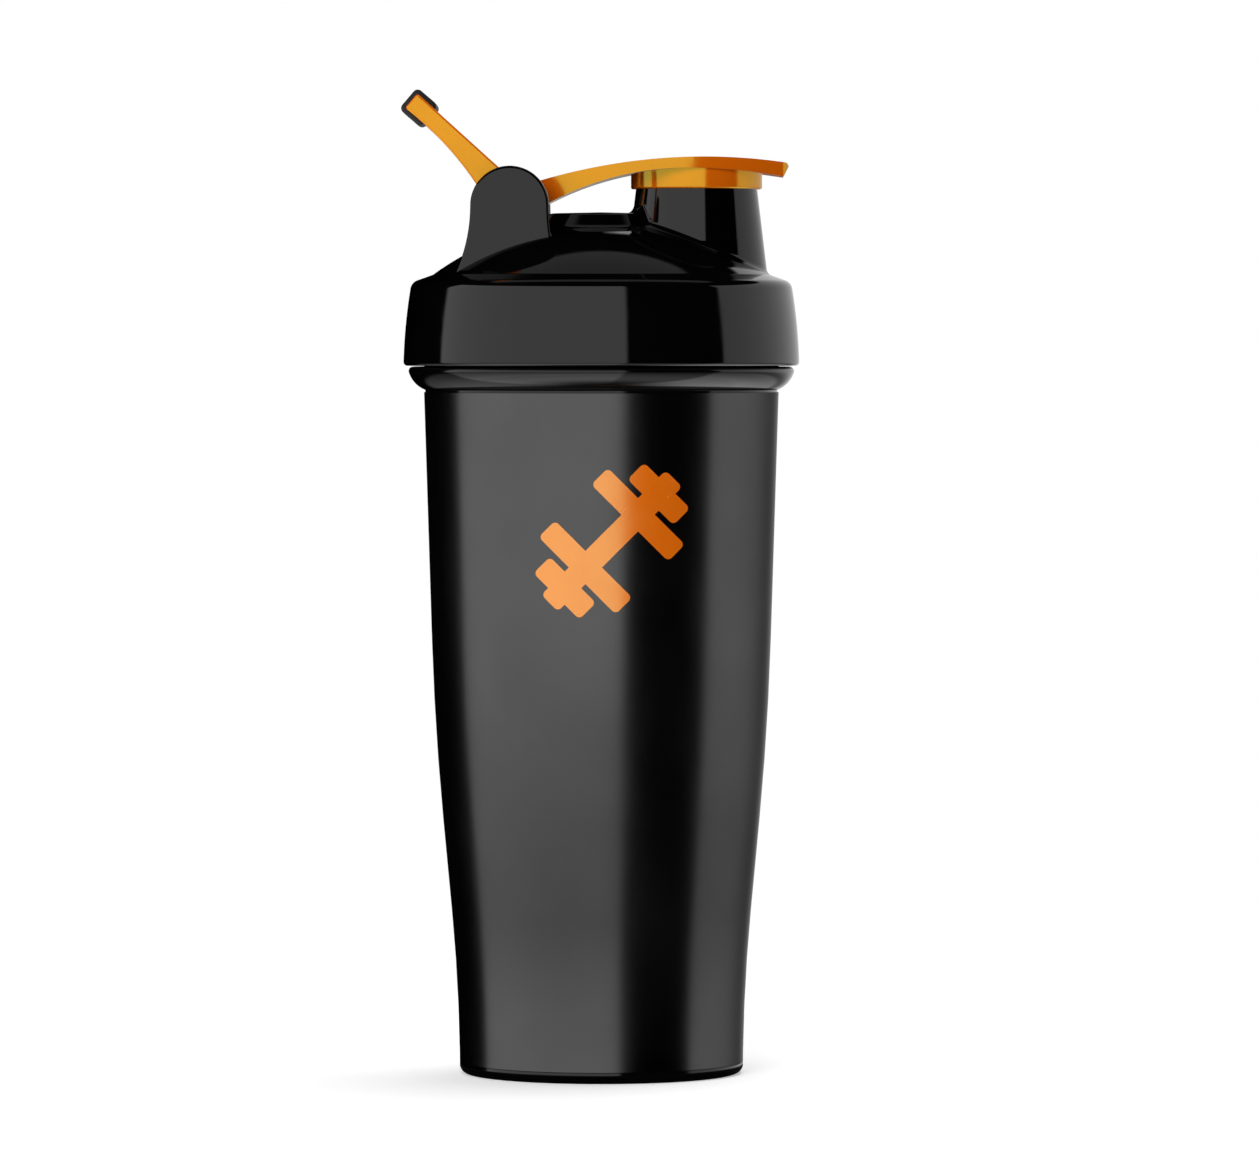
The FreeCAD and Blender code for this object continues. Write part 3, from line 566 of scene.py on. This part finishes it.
def makeLid():
    low = lidLow.z
    shoulder = low + lid["skirtHeight"]
    band = shoulder + lid["bandRise"]
    domeTop = band + lid["domeRise"]
    plateau = domeTop + lid["plateauRise"]
    sealTop = rimHeight + lid["sealThick"]
    block = turned("lidMoulding", outline([
        (0, low),
        (lid["skirtRadius"], low, lid["skirtEdge"], lid["skirtBow"]),
        (lid["skirtTop"], shoulder + 0.35, lid["shoulderRound"]),
        (lid["bandRadius"], band, 1.2, lid["domeBow"]),
        (lid["domeTop"], domeTop, 3.2),
        (lid["plateau"], plateau, 1.6),
        (0, plateau + lid["crown"]),
    ], closed=False), steps=288)
    rim = spoutHeight
    foot = rim - band
    spout = turned("spout", outline([
        (0, band),
        (lid["spoutRadius"] + lid["spoutTaper"] * foot, band),
        (lid["spoutRadius"], rim, lid["spoutRound"]),
        (0, rim),
    ], closed=False), steps=192, centre=(spoutX, 0))
    joined(block, spout)
    radius, px, pz = lid["earRadius"], pivot.x, pivot.z
    right, left = px + radius + lid["earRightFlare"], px - radius - lid["earLeftFlare"]
    ear = outline([
        (right, band - 5),
        (right, band + 2, 0, -flankBend(pz - band - 2, lid["earRightFlare"])),
        (px + radius, pz, 0, radius * 1.00001),
        (px - radius, pz, 0, -flankBend(pz - band + 1.5, lid["earLeftFlare"])),
        (left, band - 1.5),
        (left, band - 5),
    ])
    thick = lid["earOuter"] - lid["earInner"]
    for side in (-1, 1):
        middle = side * (lid["earOuter"] + lid["earInner"]) / 2
        joined(block, slab("ear", ear, thick, lid["earEdge"], middle=middle))
    lip = cup["neckRadius"] - cup["neckWall"] - 0.7
    hollow = turned("hollow", outline([
        (0, low - 5),
        (lid["skirtRadius"] - 1.9, low - 5),
        (lid["skirtRadius"] - 1.9, low),
        (lid["threadWall"], low + 3.2, 1),
        (lid["threadWall"], sealTop - 0.4, 0.3),
        (cup["neckRadius"] + 0.3, sealTop - 0.4, 0.1),
        (cup["neckRadius"] + 0.3, sealTop, 0.1),
        (lip, sealTop, 0.3),
        (lip, rimHeight - 3.4, 0.3),
        (lip - 1.2, rimHeight - 3.4, 0.3),
        (lip - 1.2, band - 1.4, 0.5, lid["domeBow"] - lid["wall"]),
        (lid["domeTop"] - 0.5, domeTop - lid["wall"], 3),
        (lid["plateau"] - 1.6, plateau - lid["wall"], 1),
        (0, plateau - lid["wall"]),
    ], closed=False), steps=240)
    cut(block, hollow)
    edge = lid["spoutRound"]
    bore = turned("bore", [Vector((0, sealTop)), Vector((lid["spoutBore"], sealTop))]
                  + [Vector((lid["spoutBore"] + edge * (1 - math.cos(a)), rim - edge + edge * math.sin(a)))
                     for a in [math.pi / 2 * i / 5 for i in range(6)]]
                  + [Vector((lid["spoutBore"] + edge, rim + 2)), Vector((0, rim + 2))],
                  steps=192, centre=(spoutX, 0))
    cut(block, bore)
    joined(block, threadRidge("lidThread", lid["threadWall"], -1.2, beadTop + 6.9 - 2.3, 1.0))
    socket = slab("socket", circlePoints(px, pz, 2.0, 32), 38)
    cut(block, socket)
    added(block, spoutFillet(band))
    return finished(block, "lid", glossBlack, "lid")


def circlePoints(x, y, radius, count=96):
    angles = [2 * math.pi * i / count for i in range(count)]
    return [Vector((x + radius * math.cos(a), y + radius * math.sin(a))) for a in angles]


# ---- flip cap and its stopper
cap = {
    "peakPast": 2.35, "peakLift": 5.54, "endBack": 1, "endRise": 3.4, "underShort": 2.06, "underLift": 2.85,
    "rootOut": 4.9, "rootDrop": 1.98, "tipReach": 22.25, "tipLean": 1.2, "tipDrop": 2.0, "tipBow": 134,
    "tipRound": 1.1, "edge": 0.45, "armHalf": 10, "brim": 4.35, "sideRound": 45, "tipHalf": 7.9, "tipCorner": 4,
    "barrel": 5.2, "barrelHalf": 13.3, "ringRadius": 15.95, "ringDrop": 2.1, "ceiling": 1.2, "ringInner": 15.1,
    "ringEdge": 0.45,
}


def sagRadius(run, sag):
    # the radius of an arc that starts level and falls by the sag along the run
    return (run * run + sag * sag) / (2 * sag)


def makeFlipCap():
    px, pz, rim = pivot.x, pivot.z, spoutHeight
    peak = Vector((spoutX + cap["peakPast"], rim + cap["peakLift"]))
    under = Vector((spoutX - cap["underShort"], rim + cap["underLift"]))
    root = Vector((px + cap["rootOut"], pz - cap["rootDrop"]))
    end = Vector((px - cap["endBack"], pz + cap["endRise"]))
    tipX = spoutX + cap["tipReach"]
    topBow = sagRadius(peak.x - end.x, peak.y - end.y)
    rimX = tipX - cap["tipRound"]
    rimZ = peak.y - topBow + math.sqrt(topBow ** 2 - (rimX - peak.x) ** 2)
    plate = slab("flipCap", outline([
        (px, pz - 3),
        (root.x, root.y, 0, -sagRadius(under.x - root.x, under.y - root.y)),
        (under.x, under.y, 0, -cap["tipBow"]),
        (tipX - cap["tipLean"], under.y - cap["tipDrop"]),
        (tipX, rimZ - cap["tipRound"], 0, cap["tipRound"]),
        (rimX, rimZ, 0, topBow),
        (end.x, end.y),
    ]), 60)
    corners = [
        (px - 10, -cap["armHalf"]),
        (px + 4, -cap["armHalf"]),
        (spoutX - 1.35, -cap["ringRadius"] - cap["brim"], cap["sideRound"]),
        (tipX + 0.2, -cap["tipHalf"], cap["tipCorner"]),
    ]
    corners += [(x, -y, *rest) for x, y, *rest in corners[::-1]]
    kept(plate, slab("plan", outline(corners, turnStep=3), 60, turn="top", middle=220))
    bevelled(plate, cap["edge"])
    barrel = slab("barrel", circlePoints(px, pz, cap["barrel"]), cap["barrelHalf"] * 2, 0.4)
    joined(plate, barrel)
    ringTop = under.y + 0.8
    ceiling, bottom = rim + cap["ceiling"], rim - cap["ringDrop"]
    ring = turned("ring", outline([
        (0, ceiling),
        (cap["ringInner"], ceiling, 0.3),
        (cap["ringInner"], bottom, 0.25),
        (cap["ringRadius"], bottom, cap["ringEdge"]),
        (cap["ringRadius"], ringTop),
        (0, ringTop),
    ], closed=False), steps=192, centre=(spoutX, 0))
    joined(plate, ring)
    cut(plate, slab("capBore", circlePoints(px, pz, 2.06, 32), 60))
    plate.visible_glossy = False  # the black dome under it stays black
    return finished(plate, "flip_cap", orangePlastic, "flip_cap")


def makeStopper():
    low, high = plugLow.z, plugHigh.z
    flange = low + 3.8
    stopper = turned("spoutStopper", outline([
        (0, low),
        (12.0, low, 0.8),
        (12.15, low + 0.9, 0.3),
        (12.45, low + 1.5, 0.4),
        (12.2, low + 2.1, 0.3),
        (12.65, low + 2.9, 0.4),
        (12.45, flange, 0.3),
        (14.95, flange, 0.35),
        (14.95, high, 0.1),
        (0, high),
    ], closed=False), steps=144, centre=(spoutX, 0))
    return finished(stopper, "flip_cap", greySilicone, "spout_stopper", sharp=40)


# ---- carry loop and grip
loop = {"tip": (-22.05, 23.7), "tipAngle": 139.5, "tipWide": 4.6, "bow": 78, "eye": 5, "inner": 13.8,
        "arm": 2.9, "edge": 0.5, "core": 4.2, "gripSide": 6.8, "gripRound": 1.3, "gripEdge": 0.7}


def loopTip():
    return Vector((pivot.x + loop["tip"][0], pivot.z + loop["tip"][1]))


def tipSquare(side, rounding):
    way = math.radians(loop["tipAngle"])
    along = Vector((math.cos(way), math.sin(way))) * side / 2
    across = Vector((-along.y, along.x))
    middle = loopTip()
    spots = [middle + along * a + across * b for a, b in ((-1, -1), (1, -1), (1, 1), (-1, 1))]
    return outline([(*spot, rounding) for spot in spots], turnStep=6)


def makeLoop():
    px, pz = pivot.x, pivot.z
    way = math.radians(loop["tipAngle"])
    along = Vector((math.cos(way), math.sin(way))) * loop["tipWide"] / 2
    across = Vector((-along.y, along.x))
    tip = loopTip()
    upper, lower = tip + along - across, tip + along + across
    arm = outline([
        (px - loop["eye"], pz, 0, loop["eye"] * 1.00001),
        (px + loop["eye"], pz, 0, loop["eye"]),
        (px + loop["eye"] * math.sin(way), pz - loop["eye"] * math.cos(way)),
        (upper.x, upper.y, 0.7),
        (lower.x, lower.y, 0.7, -loop["bow"]),
    ])
    frameLoop = slab("carryLoop", tipSquare(loop["core"], 0.3), loop["inner"] * 2 + loop["arm"])
    for side in (-1, 1):
        middle = side * (loop["inner"] + loop["arm"] / 2)
        joined(frameLoop, slab("arm", arm, loop["arm"], loop["edge"], middle=middle))
    cut(frameLoop, slab("eyeBore", circlePoints(px, pz, 2.06, 32), 60))
    return finished(frameLoop, "carry_loop", orangePlastic, "carry_loop")


def makeGrip():
    long = gripHigh.y - gripLow.y
    grip = slab("loopGrip", tipSquare(loop["gripSide"], loop["gripRound"]), long, loop["gripEdge"])
    cut(grip, slab("gripHole", tipSquare(loop["core"], 0.3), long * 2))
    return finished(grip, "carry_loop", blackRubber, "loop_grip")


makeCup()
makeSleeve()
makeMark()
makeLid()
makeFlipCap()
makeStopper()
makeLoop()
makeGrip()
for node, look in (("lid_seal", clearSilicone), ("hinge_pin", steel), ("whisk_ball", steel)):
    cadPiece = frame["nodes"][node]
    cadPiece.data.materials.clear()
    cadPiece.data.materials.append(look)
print("pieces ready")

# ---- floor, studio and camera
studio = {"floorRadius": 0.32, "floorFade": 0.16, "floorGlow": 0.42, "left": 1.03, "right": 0.76, "over": 0.22,
          "ground": 0.8,
          "shadeRadius": 0.047,
          "lampPower": 17, "lampSize": 1.2}


def makeFloor():
    floor = turned("paleFloor", [Vector((studio["floorRadius"] / mm, 0)), Vector((0, 0))], steps=96)
    material = bpy.data.materials.new("paleFloor")
    material.use_nodes = True
    maker = Maker(material.node_tree)
    place = maker.node("ShaderNodeTexCoord", output=3)
    reach = maker.node("ShaderNodeVectorMath", {"operation": "LENGTH"}, [place], output=1)
    shown = maker.spread(reach, studio["floorFade"], studio["floorRadius"] * 0.95, 1, 0)
    shader = maker.node("ShaderNodeBsdfPrincipled", inputs={
        "Base Color": colour(0.9, 0.9, 0.9), "Roughness": 0.9, "Emission Color": colour(1, 1, 1),
        "Emission Strength": studio["floorGlow"], "Alpha": shown})
    maker.node("ShaderNodeOutputMaterial", inputs={"Surface": shader})
    floor.data.materials.append(material)
    floor.visible_glossy = False  # the bottle's gloss shows the soft boxes only
    # a black disc seen only in reflections: painted shade of the floor round the bottle's foot
    shade = turned("underShade", [Vector((studio["shadeRadius"] / mm, 0)), Vector((0, 0))], steps=96)
    shade.data.materials.append(plastic("underShade", {
        "dark": colour(0, 0, 0), "light": colour(0.001, 0.001, 0.001), "driftScale": 20, "handledScale": 60,
        "rough": 0.9, "roughDrift": 0.0, "grainScale": 600, "roughGrain": 0.0, "bump": 0.0, "bumpDepth": 0.01,
    }))
    shade.visible_camera = shade.visible_diffuse = shade.visible_shadow = False


def makeStudio():
    # soft boxes as areas of the sky: a wide one at the front left, one at the right, one overhead
    world = bpy.data.worlds.new("studio")
    bpy.context.scene.world = world
    world.use_nodes = True
    maker = Maker(world.node_tree)
    way = maker.node("ShaderNodeTexCoord", output=0)
    x, y, z = (maker.node("ShaderNodeSeparateXYZ", inputs=[way], output=i) for i in range(3))
    azimuth = x.math("ARCTAN2", x, 0 - y) * (180 / math.pi)  # 0 faces the front, 90 faces +X
    height = z.math("ARCSINE", z) * (180 / math.pi)

    def panel(low, high, bottom, top, soft=1.5):
        sides = maker.spread(azimuth, low - soft, low + soft) * maker.spread(azimuth, high - soft, high + soft, 1, 0)
        return (sides * maker.spread(height, bottom - soft, bottom + soft)
                * maker.spread(height, top - soft, top + soft, 1, 0))

    leftSide, rightSide = panel(-107, 15, -95, 33), panel(76, 179, -95, 33)
    boxes = maker.spread(height, -46, -43) * maker.spread(height, -18, -5, 0.3, 1)
    left = leftSide * boxes * studio["left"]
    right = rightSide * boxes * studio["right"]
    back = x.math("ABSOLUTE", azimuth)
    over = maker.spread(back, 100, 112) * maker.spread(height, 53, 55.5) * studio["over"]
    # the pale table painted into the sky: brightest in front of the bottle, brighter under the soft boxes as painted
    # light, and dark near its foot as painted shadow
    table = maker.spread(height, -58, -22, 2.0, 0.4) * maker.spread(height, -85, -60, 0.12, 1)
    near = table * maker.spread(height, -24, -18, 1, 0)
    ground = near * (leftSide * 0.5 + rightSide * 0.75 + 0.5) * studio["ground"]
    glow = left + right + over + ground
    seen = maker.node("ShaderNodeLightPath", output=0)
    strength = glow * (1 - seen) + seen
    sky = maker.node("ShaderNodeBackground", inputs={"Color": colour(1, 1, 1), "Strength": strength})
    maker.node("ShaderNodeOutputWorld", inputs={"Surface": sky})


def makeLamps():
    # a broad lamp in front and one above: soft light on what isn't glossy, and no reflection of their own
    for name, place, share in (("frontLamp", (-0.5, -1.6, 1.1), 1.0), ("topLamp", (0.2, 0.3, 1.9), 1.2)):
        data = bpy.data.lights.new(name, "AREA")
        data.shape = "DISK"
        data.size = studio["lampSize"]
        data.energy = studio["lampPower"] * share
        lamp = bpy.data.objects.new(name, data)
        bpy.context.scene.collection.objects.link(lamp)
        lamp.location = place
        lamp.rotation_euler = (Vector((0, 0, 0.12)) - lamp.location).to_track_quat("-Z", "Y").to_euler()
        lamp.visible_glossy = False


def makeCamera():
    # a long lens, level with the lid, at the distance where the foot is seen from 5 degrees above
    view = {"distance": 2.06, "height": 0.18, "aim": (0.0066, 0.0, 0.1196), "across": 0.3062}
    data = bpy.data.cameras.new("camera")
    data.sensor_width = 36
    camera = bpy.data.objects.new("camera", data)
    bpy.context.scene.collection.objects.link(camera)
    aim = Vector(view["aim"])
    camera.location = (aim.x, -view["distance"], view["height"])
    reach = (camera.location - aim).length
    data.lens = 36 * reach / view["across"]
    data.clip_end = 20
    camera.rotation_euler = (aim - camera.location).to_track_quat("-Z", "Y").to_euler()
    bpy.context.scene.camera = camera


makeFloor()
makeStudio()
makeLamps()
makeCamera()
bpy.context.scene.view_settings.view_transform = "Standard"
print("studio ready")
